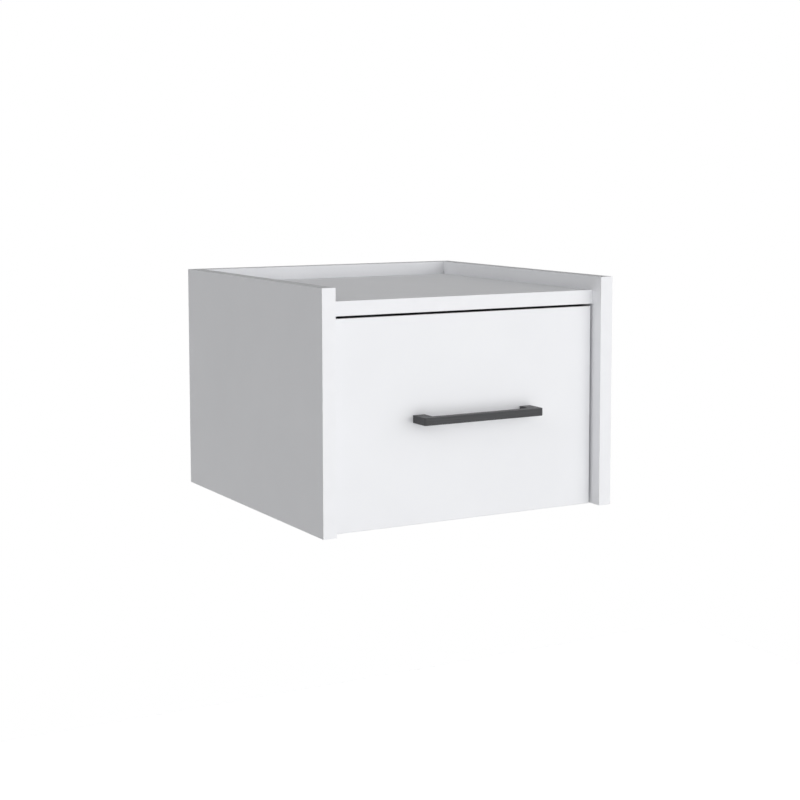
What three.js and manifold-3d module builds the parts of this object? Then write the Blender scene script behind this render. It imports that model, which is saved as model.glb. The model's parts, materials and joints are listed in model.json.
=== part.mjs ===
// A wall-hung nightstand: a white board cabinet with a rimmed, recessed top and one inset drawer on
// roller runners. Sizes are in millimetres. X points right, Y points into the wall and Z points up.
// The origin is on the wall, at the middle of the cabinet's back. Heights in the sections below are
// counted from the cabinet's foot, and the last group lowers them all by half the cabinet's height.

import * as THREE from 'three';
import { mergeVertices } from 'three/addons/utils/BufferGeometryUtils.js';
import Module from 'manifold-3d';

const wasm = await Module();
wasm.setup();

// Cabinet sizes.
const cabinetWidth = 350;
const cabinetDepth = 350;
const cabinetHeight = 250;
const boardThickness = 15;
const edgeBandThickness = 0.5;
const rimHeight = 15;
const frontRecess = 16;

// Drawer sizes. The foot and head clearances are inside the cabinet, under and over the drawer box.
const frontTopGap = 2.5;
const frontSideGap = 2.5;
const frontStopGap = 0.5;
const boxFootClearance = 15;
const boxHeadClearance = 40;
const boxRearClearance = 4;
const boxBottomThickness = 3;
const grooveRise = 10;
const grooveDepth = 6;
const grooveClearance = 0.5;

// Bar pull sizes. The shift and the rise are counted from the middle of the drawer front.
const pullLength = 144;
const pullPostWidth = 13.5;
const pullBarHeight = 8;
const pullBarDepth = 8.5;
const pullProjection = 25;
const pullCornerRadius = 2.5;
const pullShift = 8;
const pullRise = 1.6;
const pullThreadDepth = 12;

// Runner sizes. The travel is a share of the runner's length.
const runnerSheet = 1;
const runnerLipGap = 1;
const runnerDrop = 2;
const runnerSetback = 2;
const runnerTravelShare = 0.75;
const flangeClearance = 1.5;
const rollerRadius = 9;
const rollerWidth = 6.5;
const rollerChamfer = 0.5;
const rollerClearance = 0.5;
const rollerInset = 12;
const axleRadius = 2.5;
const axleHeadRadius = 4;
const axleHeadThickness = 0.8;
const stopHeight = 3;
const stopLength = 3;

// Fastener sizes. The insets are distances from an edge or an end to a fastener's middle.
const camRadius = 7.5;
const camDepth = 12.5;
const camDistance = 24;
const camInset = 54;
const camSlotWidth = 1.2;
const camSlotDepth = 2.5;
const boltThreadRadius = 2.5;
const boltThreadLength = 10;
const boltCollarRadius = 3.5;
const boltCollarLength = 1.5;
const boltShankRadius = 2;
const boltNeckRadius = 1.5;
const boltHeadRadius = 3;
const boltBoreRadius = 4;
const dowelRadius = 4;
const dowelLength = 30;
const dowelShortEnd = 10;
const dowelChamfer = 1;
const dowelInset = 50;
const railScrewInset = 35;
const railScrewEdge = 5;
const screwPassage = 0.6;
const wallHoleRadius = 2.5;
const wallHoleInset = 60;
const wallHoleEdge = 25;

// A screw is described by its head, its shank and the width and depth of its cross slot.
const railScrew = {
  headRadius: 3.5, headThickness: 1.5, shankRadius: 1.75, length: 13, slotWidth: 0.8, slotDepth: 0.8,
};
const boxScrew = {
  headRadius: 3.5, headThickness: 2, shankRadius: 2, length: 40, slotWidth: 0.8, slotDepth: 1.2,
};
const pullScrew = {
  headRadius: 4, headThickness: 2.5, shankRadius: 2, length: 24, slotWidth: 1, slotDepth: 1.4,
};

// Clearances, and how far a cut runs past the face that it opens.
const fitClearance = 0.3;
const overrun = 5;

// Shares of a screw's or a cam's own sizes.
const screwTopShare = 0.6;
const screwDomeShare = 0.5;
const screwTipShare = 1.5;
const slotLengthShare = 1.1;

const smallRoundSegments = 12;
const largeRoundSegments = 24;

// Places that the pieces share.
const outerHalfWidth = cabinetWidth / 2;
const innerHalfWidth = outerHalfWidth - boardThickness;
const frontEdgeY = -cabinetDepth;
const frontFaceY = frontEdgeY + frontRecess;
const frontRearY = frontFaceY + boardThickness;
const backFaceY = -boardThickness;
const topSurfaceZ = cabinetHeight - rimHeight;
const topUndersideZ = topSurfaceZ - boardThickness;
const topMiddleZ = topSurfaceZ - boardThickness / 2;

const frontHalfWidth = innerHalfWidth - frontSideGap;
const frontTopZ = topUndersideZ - frontTopGap;

const screwHeadRoom = railScrew.headThickness + screwPassage;
const axleHeadRoom = axleHeadThickness + fitClearance;
const rollerRoom = rollerWidth + rollerClearance;
const runnerGap = runnerSheet + fitClearance + screwHeadRoom + axleHeadRoom + rollerRoom + runnerSheet;

const boxOuterHalfWidth = innerHalfWidth - runnerGap;
const boxInnerHalfWidth = boxOuterHalfWidth - boardThickness;
const boxFootZ = boardThickness + boxFootClearance;
const boxTopZ = topUndersideZ - boxHeadClearance;
const boxMiddleZ = (boxFootZ + boxTopZ) / 2;
const boxRearY = backFaceY - boxRearClearance;
const boxLength = boxRearY - frontRearY;
const boxBackFaceY = boxRearY - boardThickness;
const grooveLowZ = boxFootZ + grooveRise;
const grooveHighZ = grooveLowZ + boxBottomThickness + 2 * grooveClearance;

const railLowZ = boxFootZ - runnerDrop;
const railHighZ = railLowZ + 2 * (runnerSheet + rollerClearance + rollerRadius);
const railMiddleZ = (railLowZ + railHighZ) / 2;
const railFrontY = frontRearY + runnerSetback;
const railRearY = railFrontY + boxLength;
const railLipReach = runnerGap - runnerSheet - runnerLipGap;
const flangeLowZ = railHighZ + flangeClearance;
const flangeHighZ = flangeLowZ + runnerSheet;
const frontRollerY = railFrontY + rollerInset;
const frontRollerZ = flangeLowZ - rollerClearance - rollerRadius;
const rearRollerY = boxRearY - rollerInset;
const rearRollerZ = railLowZ + runnerSheet + rollerClearance + rollerRadius;
const drawerTravel = boxLength * runnerTravelShare;

// Materials.
const melamine = new THREE.MeshStandardMaterial({ color: 0xf0f0f2, roughness: 0.45, metalness: 0 });
const edgeBand = new THREE.MeshStandardMaterial({ color: 0xf2f2f4, roughness: 0.38, metalness: 0 });
const graphite = new THREE.MeshStandardMaterial({ color: 0x57585b, roughness: 0.4, metalness: 0.6 });
const coatedSteel = new THREE.MeshStandardMaterial({ color: 0xe6e6e4, roughness: 0.4, metalness: 0.1 });
const zincSteel = new THREE.MeshStandardMaterial({ color: 0xb9bcc0, roughness: 0.35, metalness: 0.9 });
const castZinc = new THREE.MeshStandardMaterial({ color: 0xa3a5a8, roughness: 0.5, metalness: 0.8 });
const nylon = new THREE.MeshStandardMaterial({ color: 0xe9e8e2, roughness: 0.5, metalness: 0 });
const hardboard = new THREE.MeshStandardMaterial({ color: 0xe9e9ea, roughness: 0.55, metalness: 0 });
const beech = new THREE.MeshStandardMaterial({ color: 0xcfa878, roughness: 0.7, metalness: 0 });

const sides = [
  { label: 'left', sign: -1 },
  { label: 'right', sign: 1 },
];

// Solid geometry.

// Turns a closed geometry into a solid. A turned piece has empty triangles on its axis, left out here.
function toSolid(geometry) {
  const bare = geometry.clone();
  bare.deleteAttribute('normal');
  bare.deleteAttribute('uv');
  const merged = mergeVertices(bare);
  const corners = merged.index.array;
  const kept = [];
  for (let i = 0; i < corners.length; i += 3) {
    const [a, b, c] = [corners[i], corners[i + 1], corners[i + 2]];
    if (a !== b && b !== c && c !== a) {
      kept.push(a, b, c);
    }
  }
  return new wasm.Manifold(new wasm.Mesh({
    numProp: 3,
    vertProperties: merged.attributes.position.array,
    triVerts: new Uint32Array(kept),
  }));
}

function toGeometry(solid) {
  const mesh = solid.getMesh();
  const geometry = new THREE.BufferGeometry();
  geometry.setAttribute('position', new THREE.BufferAttribute(mesh.vertProperties, 3));
  geometry.setIndex(new THREE.BufferAttribute(mesh.triVerts, 1));
  geometry.computeVertexNormals();
  return geometry;
}

function subtract(geometry, tools) {
  let solid = toSolid(geometry);
  for (const tool of tools) {
    solid = solid.subtract(toSolid(tool));
  }
  return toGeometry(solid);
}

function join(geometry, added) {
  return toGeometry(toSolid(geometry).add(toSolid(added)));
}

// Cuts a mesh that is already in place with tools given in the cabinet's own coordinates.
function drill(mesh, tools) {
  mesh.updateMatrix();
  const intoMesh = mesh.matrix.clone().invert();
  mesh.geometry = subtract(mesh.geometry, tools.map((tool) => tool.clone().applyMatrix4(intoMesh)));
}

function boxBetween(low, high) {
  const [sizeX, sizeY, sizeZ] = low.map((value, axis) => Math.abs(high[axis] - value));
  const [x, y, z] = low.map((value, axis) => (high[axis] + value) / 2);
  return new THREE.BoxGeometry(sizeX, sizeY, sizeZ).translate(x, y, z);
}

// A round bar along X, between two places on it.
function rodAlongX(radius, from, to, segments) {
  const rod = new THREE.CylinderGeometry(radius, radius, to - from, segments);
  return rod.rotateZ(-Math.PI / 2).translate((from + to) / 2, 0, 0);
}

// A turned piece around X. Each point of the profile is a radius and a place along X.
function turnedAlongX(profile, segments) {
  const points = profile.map(([radius, place]) => new THREE.Vector2(radius, place));
  return new THREE.LatheGeometry(points, segments).rotateZ(-Math.PI / 2);
}

// A frame at an origin, with its X along forward and its Z along up.
function frameAt(origin, forward, up) {
  const x = new THREE.Vector3(...forward);
  const z = new THREE.Vector3(...up);
  const y = new THREE.Vector3().crossVectors(z, x);
  return new THREE.Matrix4().makeBasis(x, y, z).setPosition(...origin);
}

function placed(name, geometry, material, frame) {
  const mesh = new THREE.Mesh(geometry, material);
  mesh.name = name;
  mesh.applyMatrix4(frame);
  return mesh;
}

// A board between two corners. Its mesh is centred on the board.
function board(name, material, low, high) {
  const [sizeX, sizeY, sizeZ] = low.map((value, axis) => Math.abs(high[axis] - value));
  const mesh = new THREE.Mesh(new THREE.BoxGeometry(sizeX, sizeY, sizeZ), material);
  mesh.name = name;
  mesh.position.set(...low.map((value, axis) => (high[axis] + value) / 2));
  return mesh;
}

// Fasteners. Each is made along its own X, and comes with the holes that it needs.

// Two crossed slots in the face that a driver reaches, at the origin, cut along X to a depth.
function crossSlot(radius, width, depth) {
  const reach = radius * slotLengthShare / 2;
  return [
    boxBetween([-overrun, -reach, -width / 2], [depth, reach, width / 2]),
    boxBetween([-overrun, -width / 2, -reach], [depth, width / 2, reach]),
  ];
}

// A pan head screw. The head's underside is at the origin and the shank runs along X.
function screwGeometry(screw) {
  const tip = screw.shankRadius * screwTipShare;
  const body = turnedAlongX([
    [0, -screw.headThickness],
    [screw.headRadius * screwTopShare, -screw.headThickness],
    [screw.headRadius, -screw.headThickness * screwDomeShare],
    [screw.headRadius, 0],
    [screw.shankRadius, 0],
    [screw.shankRadius, screw.length - tip],
    [0, screw.length],
  ], smallRoundSegments);
  const slots = crossSlot(screw.headRadius, screw.slotWidth, screw.slotDepth);
  return subtract(body, slots.map((slot) => slot.translate(-screw.headThickness, 0, 0)));
}

function screwHole(screw) {
  const holeEnd = screw.length + fitClearance;
  return rodAlongX(screw.shankRadius + fitClearance, -overrun, holeEnd, smallRoundSegments);
}

function placedScrew(name, screw, frame) {
  return {
    mesh: placed(name, screwGeometry(screw), zincSteel, frame),
    hole: screwHole(screw).applyMatrix4(frame),
  };
}

// A cam joint. Its X runs from the bolt's board into the cam's board, from the face where they meet,
// and its Z points out of the face that the cam is pushed into, half a board away.
function camJoint(suffix, prefix, frame) {
  const faceZ = boardThickness / 2;
  const headReach = camDistance + boltHeadRadius;
  const neckStart = camDistance - boltHeadRadius - boltNeckRadius;

  const upright = new THREE.CylinderGeometry(camRadius, camRadius, camDepth, largeRoundSegments);
  const drum = upright.rotateX(Math.PI / 2).translate(camDistance, 0, faceZ - camDepth / 2);
  const headRoom = boltHeadRadius + fitClearance;
  const channel = rodAlongX(headRoom, 0, headReach + fitClearance, smallRoundSegments);
  const slots = crossSlot(camRadius, camSlotWidth, camSlotDepth).map(
    (slot) => slot.rotateY(Math.PI / 2).translate(camDistance, 0, faceZ),
  );
  const cam = subtract(drum, [channel, ...slots]);

  const bolt = turnedAlongX([
    [0, -boltThreadLength],
    [boltNeckRadius, -boltThreadLength],
    [boltThreadRadius, boltNeckRadius - boltThreadLength],
    [boltThreadRadius, 0],
    [boltCollarRadius, 0],
    [boltCollarRadius, boltCollarLength],
    [boltShankRadius, boltCollarLength],
    [boltShankRadius, neckStart],
    [boltNeckRadius, neckStart],
    [boltNeckRadius, camDistance - boltNeckRadius],
    [boltHeadRadius, camDistance - boltNeckRadius],
    [boltHeadRadius, camDistance + boltNeckRadius],
    [boltNeckRadius, headReach],
    [0, headReach],
  ], smallRoundSegments);

  const pocketRadius = camRadius + fitClearance;
  const pocketDepth = camDepth + fitClearance;
  const pocketHeight = pocketDepth + overrun;
  const uprightPocket = new THREE.CylinderGeometry(
    pocketRadius, pocketRadius, pocketHeight, largeRoundSegments,
  );
  const pocket = uprightPocket.rotateX(Math.PI / 2);
  pocket.translate(camDistance, 0, faceZ + overrun - pocketHeight / 2);
  const bore = rodAlongX(boltBoreRadius, -overrun, camDistance, smallRoundSegments);
  const threadRoom = boltThreadLength + fitClearance;
  const thread = rodAlongX(boltThreadRadius + fitClearance, -threadRoom, overrun, smallRoundSegments);

  return {
    meshes: [
      placed(`${prefix}_cam_lock_${suffix}`, cam, castZinc, frame),
      placed(`${prefix}_cam_bolt_${suffix}`, bolt, zincSteel, frame),
    ],
    camHoles: [pocket.applyMatrix4(frame), bore.applyMatrix4(frame)],
    boltHole: thread.applyMatrix4(frame),
  };
}

// A dowel whose short end goes back from the origin and whose long end runs along X.
function dowelJoint(name, frame) {
  const longEnd = dowelLength - dowelShortEnd;
  const peg = turnedAlongX([
    [0, -dowelShortEnd],
    [dowelRadius - dowelChamfer, -dowelShortEnd],
    [dowelRadius, dowelChamfer - dowelShortEnd],
    [dowelRadius, longEnd - dowelChamfer],
    [dowelRadius - dowelChamfer, longEnd],
    [0, longEnd],
  ], smallRoundSegments);
  const hole = rodAlongX(
    dowelRadius + fitClearance, -dowelShortEnd - fitClearance, longEnd + fitClearance, smallRoundSegments,
  );
  return { mesh: placed(name, peg, beech, frame), hole: hole.applyMatrix4(frame) };
}

// Cabinet boards.

function makeSidePanel(side) {
  const innerX = side.sign * innerHalfWidth;
  const outerX = side.sign * outerHalfWidth;
  const bandRearY = frontEdgeY + edgeBandThickness;
  return {
    panel: board(`${side.label}_side_panel`, melamine, [innerX, bandRearY, 0], [outerX, 0, cabinetHeight]),
    band: board(
      `${side.label}_side_front_edge_band`, edgeBand,
      [innerX, frontEdgeY, 0], [outerX, bandRearY, cabinetHeight],
    ),
  };
}

function makeTopPanel() {
  const bandRearY = frontFaceY + edgeBandThickness;
  return {
    panel: board(
      'top_panel', melamine,
      [-innerHalfWidth, bandRearY, topUndersideZ], [innerHalfWidth, backFaceY, topSurfaceZ],
    ),
    band: board(
      'top_panel_front_edge_band', edgeBand,
      [-innerHalfWidth, frontFaceY, topUndersideZ], [innerHalfWidth, bandRearY, topSurfaceZ],
    ),
  };
}

function makeBottomPanel() {
  const frontY = frontRearY + frontStopGap;
  return board(
    'bottom_panel', melamine, [-innerHalfWidth, frontY, 0], [innerHalfWidth, backFaceY, boardThickness],
  );
}

// The back panel has two rows of two wall screw holes, over the drawer box and behind it.
function makeBackPanel() {
  const panel = board(
    'back_panel', melamine, [-innerHalfWidth, backFaceY, 0], [innerHalfWidth, 0, cabinetHeight],
  );
  const holes = [];
  for (const side of sides) {
    for (const z of [boardThickness + wallHoleEdge, topUndersideZ - wallHoleEdge]) {
      const frame = frameAt([side.sign * (innerHalfWidth - wallHoleInset), 0, z], [0, -1, 0], [0, 0, 1]);
      const hole = rodAlongX(wallHoleRadius, -overrun, boardThickness + overrun, smallRoundSegments);
      holes.push(hole.applyMatrix4(frame));
    }
  }
  drill(panel, holes);
  return panel;
}

// Drawer boards.

function makeDrawerFront() {
  const coreHalfWidth = frontHalfWidth - edgeBandThickness;
  const coreTopZ = frontTopZ - edgeBandThickness;
  const core = board(
    'drawer_front', melamine,
    [-coreHalfWidth, frontFaceY, edgeBandThickness], [coreHalfWidth, frontRearY, coreTopZ],
  );
  const outline = new THREE.Shape([
    new THREE.Vector2(-frontHalfWidth, 0),
    new THREE.Vector2(frontHalfWidth, 0),
    new THREE.Vector2(frontHalfWidth, frontTopZ),
    new THREE.Vector2(-frontHalfWidth, frontTopZ),
  ]);
  outline.holes.push(new THREE.Path([
    new THREE.Vector2(-coreHalfWidth, edgeBandThickness),
    new THREE.Vector2(coreHalfWidth, edgeBandThickness),
    new THREE.Vector2(coreHalfWidth, coreTopZ),
    new THREE.Vector2(-coreHalfWidth, coreTopZ),
  ]));
  const ring = new THREE.ExtrudeGeometry(outline, { depth: boardThickness, bevelEnabled: false });
  const band = new THREE.Mesh(ring.rotateX(Math.PI / 2), edgeBand);
  band.name = 'drawer_front_edge_band';
  band.position.y = frontRearY;
  return { core, band };
}

function makeDrawerSide(side) {
  return board(
    `drawer_${side.label}_side`, melamine,
    [side.sign * boxInnerHalfWidth, frontRearY, boxFootZ],
    [side.sign * boxOuterHalfWidth, boxRearY, boxTopZ],
  );
}

function makeDrawerBack() {
  return board(
    'drawer_back', melamine,
    [-boxInnerHalfWidth, boxBackFaceY, boxFootZ], [boxInnerHalfWidth, boxRearY, boxTopZ],
  );
}

function makeDrawerBottom() {
  const halfWidth = boxInnerHalfWidth + grooveDepth;
  const lowZ = grooveLowZ + grooveClearance;
  return board(
    'drawer_bottom', hardboard,
    [-halfWidth, frontRearY - grooveDepth, lowZ],
    [halfWidth, boxBackFaceY + grooveDepth, lowZ + boxBottomThickness],
  );
}

// One cutter for the grooves that hold the drawer bottom. In the two sides it runs out at the rear.
function makeGroove(rearY) {
  const halfWidth = boxInnerHalfWidth + grooveDepth + grooveClearance;
  const frontY = frontRearY - grooveDepth - grooveClearance;
  return boxBetween([-halfWidth, frontY, grooveLowZ], [halfWidth, rearY, grooveHighZ]);
}

// The bar pull is one piece: a flat bar with a post at each end, cut from one outline seen from above.
function makePull() {
  const endX = pullLength / 2;
  const postX = endX - pullPostWidth;
  const holeX = (endX + postX) / 2;
  const barFrontY = -pullProjection;
  const barRearY = pullBarDepth - pullProjection;
  const radius = pullCornerRadius;
  const quarter = Math.PI / 2;

  const outline = new THREE.Shape();
  outline.moveTo(-postX, 0);
  outline.lineTo(-endX, 0);
  outline.absarc(radius - endX, barFrontY + radius, radius, Math.PI, Math.PI + quarter, false);
  outline.absarc(endX - radius, barFrontY + radius, radius, -quarter, 0, false);
  outline.lineTo(endX, 0);
  outline.lineTo(postX, 0);
  outline.absarc(postX - radius, barRearY + radius, radius, 0, -quarter, true);
  outline.absarc(radius - postX, barRearY + radius, radius, -quarter, -Math.PI, true);

  const bar = new THREE.ExtrudeGeometry(outline, {
    depth: pullBarHeight, bevelEnabled: false, curveSegments: smallRoundSegments / 2,
  });
  const mesh = new THREE.Mesh(bar.translate(0, 0, -pullBarHeight / 2), graphite);
  mesh.name = 'handle';
  mesh.position.set(pullShift, frontFaceY, frontTopZ / 2 + pullRise);

  const meshes = [mesh];
  const holes = [];
  for (const side of sides) {
    const origin = [pullShift + side.sign * holeX, frontRearY + fitClearance, mesh.position.z];
    const screwFrame = frameAt(origin, [0, -1, 0], [0, 0, 1]);
    const screw = placedScrew(`handle_screw_${side.label}`, pullScrew, screwFrame);
    meshes.push(screw.mesh);
    holes.push(screw.hole);
  }
  drill(mesh, holes.map((hole) => limitDepth(hole, frontFaceY - pullThreadDepth)));
  return { meshes, holes };
}

// Keeps the part of a cutter that lies behind a depth, so that a threaded hole has its own length.
function limitDepth(geometry, lowestY) {
  const reach = cabinetDepth + pullProjection;
  const room = boxBetween([-reach, lowestY, 0], [reach, 0, cabinetHeight]);
  return toGeometry(toSolid(geometry).intersect(toSolid(room)));
}

// Runners.

// Extrudes a section along Y, from the rear to the front. A point is a distance in from the cabinet
// side and a height.
function sectionAlongY(side, points, rearY, frontY) {
  const outline = new THREE.Shape(points.map(
    ([distance, z]) => new THREE.Vector2(side.sign * (innerHalfWidth - distance), z),
  ));
  const bar = new THREE.ExtrudeGeometry(outline, { depth: rearY - frontY, bevelEnabled: false });
  return bar.rotateX(Math.PI / 2).translate(0, rearY, 0);
}

// A nylon roller on a riveted axle. X runs from the back of the sheet that carries it.
function makeRoller(label, frame) {
  const rollerStart = runnerSheet + rollerClearance;
  const rollerEnd = rollerStart + rollerWidth;
  const boreRadius = axleRadius + fitClearance;
  const rimRadius = rollerRadius - rollerChamfer;
  const roller = turnedAlongX([
    [boreRadius, rollerStart],
    [rimRadius, rollerStart],
    [rollerRadius, rollerStart + rollerChamfer],
    [rollerRadius, rollerEnd - rollerChamfer],
    [rimRadius, rollerEnd],
    [boreRadius, rollerEnd],
    [boreRadius, rollerStart],
  ], largeRoundSegments);
  const headStart = rollerEnd + fitClearance;
  const headEnd = headStart + axleHeadThickness;
  const axle = turnedAlongX([
    [0, fitClearance],
    [axleRadius, fitClearance],
    [axleRadius, headStart],
    [axleHeadRadius, headStart],
    [axleRadius, headEnd],
    [0, headEnd],
  ], smallRoundSegments);
  const hole = rodAlongX(boreRadius, -overrun, runnerSheet + rollerClearance, smallRoundSegments);
  return {
    meshes: [
      placed(`${label}_roller`, roller, nylon, frame),
      placed(`${label}_roller_axle`, axle, zincSteel, frame),
    ],
    hole: hole.applyMatrix4(frame),
  };
}

// The cabinet rail is a channel open towards the drawer. Its upper lip is cut away over the front
// roller, and a stop on its lower lip meets the drawer rail's roller when the drawer is fully out.
function makeCabinetRail(side) {
  const channel = sectionAlongY(side, [
    [0, railLowZ],
    [railLipReach, railLowZ],
    [railLipReach, railLowZ + runnerSheet],
    [runnerSheet, railLowZ + runnerSheet],
    [runnerSheet, railHighZ - runnerSheet],
    [railLipReach, railHighZ - runnerSheet],
    [railLipReach, railHighZ],
    [0, railHighZ],
  ], railRearY, railFrontY);

  const wallX = side.sign * innerHalfWidth;
  const webX = side.sign * (innerHalfWidth - runnerSheet);
  const lipX = side.sign * (innerHalfWidth - railLipReach);
  const stopX = side.sign * (innerHalfWidth - railLipReach + rollerWidth / 2);
  const stopRearY = rearRollerY - drawerTravel - rollerRadius - rollerClearance;
  const stop = boxBetween(
    [stopX, stopRearY - stopLength, railLowZ], [lipX, stopRearY, railLowZ + runnerSheet + stopHeight],
  );
  const notchRearY = frontRollerY + rollerRadius + rollerClearance;
  const notch = boxBetween(
    [webX, railFrontY - overrun, railMiddleZ], [lipX - side.sign * overrun, notchRearY, railHighZ + overrun],
  );

  const inward = [-side.sign, 0, 0];
  const outward = [side.sign, 0, 0];
  const roller = makeRoller(
    `${side.label}_front`, frameAt([wallX, frontRollerY, frontRollerZ], inward, [0, 0, 1]),
  );
  const headX = side.sign * (innerHalfWidth - runnerSheet - fitClearance);
  const screws = [
    ['front', railFrontY + railScrewInset],
    ['rear', railRearY - railScrewInset],
  ].map(([end, y]) => placedScrew(
    `${side.label}_cabinet_rail_${end}_screw`, railScrew,
    frameAt([headX, y, railMiddleZ], outward, [0, 0, 1]),
  ));

  const holes = screws.map((screw) => screw.hole);
  const geometry = subtract(join(channel, stop), [notch, roller.hole, ...holes]);
  const rail = new THREE.Mesh(geometry, coatedSteel);
  rail.name = `${side.label}_cabinet_rail`;
  return { meshes: [rail, ...roller.meshes, ...screws.map((screw) => screw.mesh)], holes };
}

// The drawer rail is an angle under the drawer side's lower edge, with a running flange on its outer
// side that rolls on the front roller. Its own roller is at its rear end, inside the cabinet rail.
function makeDrawerRail(side) {
  const frontY = frontRearY + fitClearance;
  const webDistance = runnerGap - runnerSheet;
  const flangeDistance = runnerSheet + rollerClearance;
  const rail = sectionAlongY(side, [
    [webDistance, boxFootZ - runnerSheet],
    [runnerGap + boardThickness, boxFootZ - runnerSheet],
    [runnerGap + boardThickness, boxFootZ],
    [runnerGap, boxFootZ],
    [runnerGap, flangeHighZ],
    [flangeDistance, flangeHighZ],
    [flangeDistance, flangeLowZ],
    [webDistance, flangeLowZ],
  ], boxRearY, frontY);

  const sideX = side.sign * boxOuterHalfWidth;
  const roller = makeRoller(
    `${side.label}_rear`, frameAt([sideX, rearRollerY, rearRollerZ], [side.sign, 0, 0], [0, 0, 1]),
  );
  const screwX = side.sign * (boxOuterHalfWidth - railScrewEdge);
  const screwZ = boxFootZ - runnerSheet - fitClearance;
  const screws = [
    ['front', frontY + railScrewInset],
    ['rear', boxRearY - railScrewInset],
  ].map(([end, y]) => placedScrew(
    `${side.label}_drawer_rail_${end}_screw`, railScrew,
    frameAt([screwX, y, screwZ], [0, 0, 1], [0, 1, 0]),
  ));

  const holes = screws.map((screw) => screw.hole);
  const mesh = new THREE.Mesh(subtract(rail, [roller.hole, ...holes]), coatedSteel);
  mesh.name = `${side.label}_drawer_rail`;
  return { meshes: [mesh, ...roller.meshes, ...screws.map((screw) => screw.mesh)], holes };
}

// The cabinet: boards, edge bands, joints and the fixed half of the runners.
function makeCabinet() {
  const cabinet = new THREE.Group();
  const top = makeTopPanel();
  const bottom = makeBottomPanel();
  const back = makeBackPanel();
  cabinet.add(top.panel, top.band, bottom, back);

  for (const side of sides) {
    const { panel, band } = makeSidePanel(side);
    const innerX = side.sign * innerHalfWidth;
    const inward = [-side.sign, 0, 0];
    const ends = [
      { label: `${side.label}_front`, camY: frontFaceY + camInset, dowelY: frontRearY + dowelInset },
      { label: `${side.label}_rear`, camY: backFaceY - camInset, dowelY: backFaceY - dowelInset },
    ];
    const panelHoles = [];
    for (const end of ends) {
      const camFrame = frameAt([innerX, end.camY, topMiddleZ], inward, [0, 0, -1]);
      const joint = camJoint(end.label, 'top', camFrame);
      const dowelFrame = frameAt([innerX, end.dowelY, boardThickness / 2], inward, [0, 0, 1]);
      const dowel = dowelJoint(`bottom_dowel_${end.label}`, dowelFrame);
      drill(top.panel, joint.camHoles);
      drill(bottom, [dowel.hole]);
      panelHoles.push(joint.boltHole, dowel.hole);
      cabinet.add(...joint.meshes, dowel.mesh);
    }

    const backFrame = frameAt([innerX, -boardThickness / 2, boxMiddleZ], inward, [0, -1, 0]);
    const backJoint = camJoint(side.label, 'back', backFrame);
    drill(back, backJoint.camHoles);
    const rail = makeCabinetRail(side);
    drill(panel, [...panelHoles, backJoint.boltHole, ...rail.holes]);
    cabinet.add(panel, band, ...backJoint.meshes, ...rail.meshes);
  }
  return cabinet;
}

// The drawer: front, box, bar pull and the moving half of the runners.
function makeDrawer() {
  const drawer = new THREE.Group();
  const front = makeDrawerFront();
  const back = makeDrawerBack();
  const pull = makePull();
  const sideGroove = makeGroove(boxRearY + overrun);
  const endGroove = makeGroove(boxBackFaceY + grooveDepth + grooveClearance);
  const frontHoles = [endGroove, ...pull.holes];
  const backHoles = [endGroove];

  for (const side of sides) {
    const panel = makeDrawerSide(side);
    const middleX = side.sign * (boxOuterHalfWidth - boardThickness / 2);
    const joint = camJoint(
      side.label, 'drawer', frameAt([middleX, frontRearY, boxMiddleZ], [0, 1, 0], [side.sign, 0, 0]),
    );
    const counterbore = boxScrew.headThickness + fitClearance;
    const screwX = side.sign * (boxOuterHalfWidth - counterbore);
    const screwFrame = frameAt(
      [screwX, boxRearY - boardThickness / 2, boxMiddleZ], [-side.sign, 0, 0], [0, 0, 1],
    );
    const screw = placedScrew(`drawer_back_screw_${side.label}`, boxScrew, screwFrame);
    const sink = rodAlongX(boxScrew.headRadius + fitClearance, -overrun, fitClearance, smallRoundSegments);
    const rail = makeDrawerRail(side);

    drill(panel, [sideGroove, ...joint.camHoles, screw.hole, sink.applyMatrix4(screwFrame), ...rail.holes]);
    frontHoles.push(joint.boltHole);
    backHoles.push(screw.hole);
    drawer.add(panel, screw.mesh, ...joint.meshes, ...rail.meshes);
  }

  drill(front.core, frontHoles);
  drill(back, backHoles);
  drawer.add(front.core, front.band, back, makeDrawerBottom(), ...pull.meshes);
  return drawer;
}

const nightstand = new THREE.Group();
nightstand.add(makeCabinet(), makeDrawer());
nightstand.position.z = -cabinetHeight / 2;

export default nightstand;
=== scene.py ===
import json
import math

import bmesh
import bpy
from mathutils import Matrix, Vector

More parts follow.
